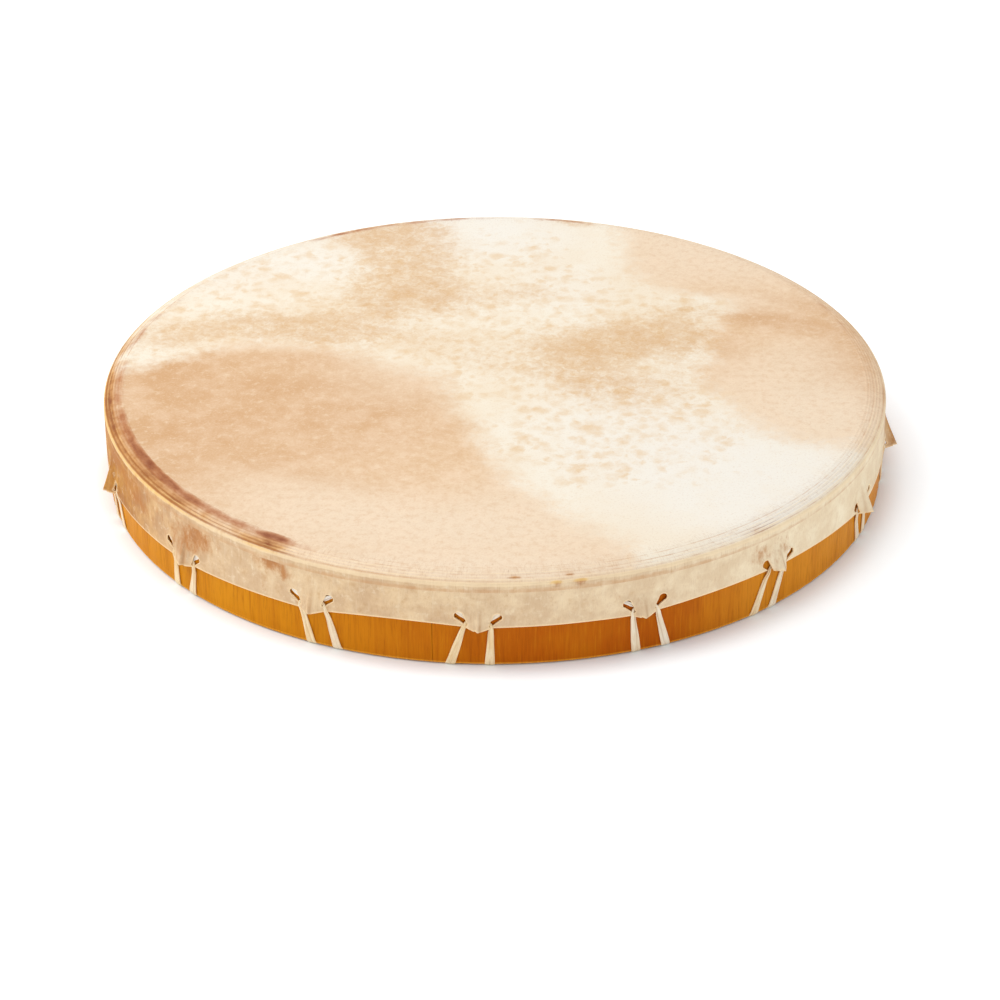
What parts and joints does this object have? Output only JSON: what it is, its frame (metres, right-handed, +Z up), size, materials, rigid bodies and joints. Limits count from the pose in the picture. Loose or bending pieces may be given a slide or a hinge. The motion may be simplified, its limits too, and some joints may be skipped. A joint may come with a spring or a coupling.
{
  "type": "frame drum",
  "caption": "Shallow round frame drum with a rawhide head, laced over a laminated wooden hoop to a star of bound arms and a centre ring at its open back.",
  "frame": {"origin": "centre of the drum on the plane it stands on, which is the underside of the laces below the hoop", "axes": "+Z up through the playing surface, -Y towards the front, where the first pair of lacing holes is, +X to the right"},
  "size_m": [0.5146, 0.515, 0.06],
  "materials": {
    "hoop_wood": "satin amber varnish over bent strips, grain running up the hoop's outer face",
    "rawhide_head": "dry translucent rawhide, cream with tan clouds and freckles, faintly glossy",
    "rawhide_lace": "smooth cut rawhide strip, matte",
    "rawhide_binding": "rawhide strip wound and dried hard",
    "ring_steel": "plain welded ring, dull"
  },
  "bodies": {
    "root": {"hoop_strip_outer": "hoop_wood", "hoop_strip_2": "hoop_wood", "hoop_strip_3": "hoop_wood", "hoop_strip_inner": "hoop_wood", "drumhead": "rawhide_head", "centre_ring": "ring_steel", "lace_1": "rawhide_lace", "lace_2": "rawhide_lace", "lace_3": "rawhide_lace", "lace_4": "rawhide_lace", "lace_5": "rawhide_lace", "lace_6": "rawhide_lace", "lace_7": "rawhide_lace", "lace_8": "rawhide_lace", "arm_binding_1": "rawhide_binding", "arm_binding_2": "rawhide_binding", "arm_binding_3": "rawhide_binding", "arm_binding_4": "rawhide_binding", "arm_binding_5": "rawhide_binding", "arm_binding_6": "rawhide_binding", "arm_binding_7": "rawhide_binding", "arm_binding_8": "rawhide_binding"}
  },
  "joints": []
}
